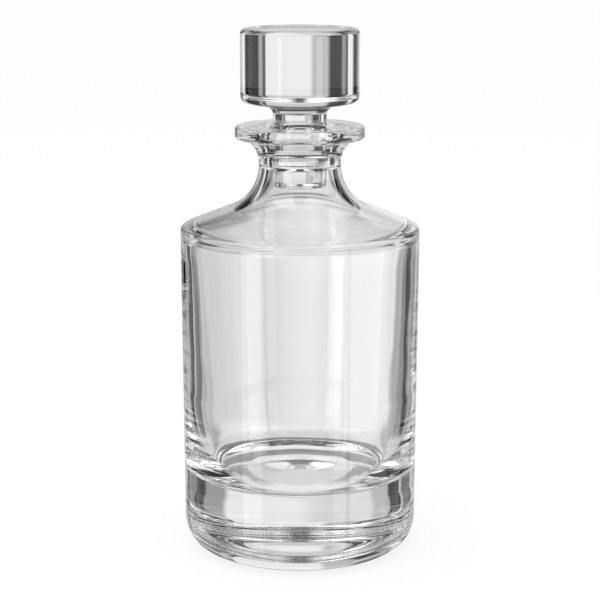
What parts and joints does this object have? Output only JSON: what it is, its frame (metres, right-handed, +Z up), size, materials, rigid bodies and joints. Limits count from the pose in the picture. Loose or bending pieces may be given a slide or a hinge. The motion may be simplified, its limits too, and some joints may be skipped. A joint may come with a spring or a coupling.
{
  "type": "whisky decanter",
  "caption": "Round clear-glass whisky decanter with straight sides, a heavy base, a short flanged neck and a solid drum-shaped glass stopper that lifts out.",
  "frame": {"origin": "centre of the ring the bottle stands on, at the level of the surface it stands on", "axes": "+Z up along the axis of the bottle, towards the stopper; X and Y are level and equivalent"},
  "size_m": [0.1094, 0.1094, 0.24],
  "materials": {
    "bottle_crystal": "clear lead-free crystal, fire polished, colourless",
    "stopper_crystal": "clear lead-free crystal, solid, polished all over"
  },
  "bodies": {
    "bottle": {"bottle": "bottle_crystal"},
    "stopper": {"stopper": "stopper_crystal"}
  },
  "joints": [
    {"name": "stopper_lift", "type": "slide", "parent": "bottle", "child": "stopper", "axis": [0, 0, 1], "range_m": [0, 0.06]}
  ]
}
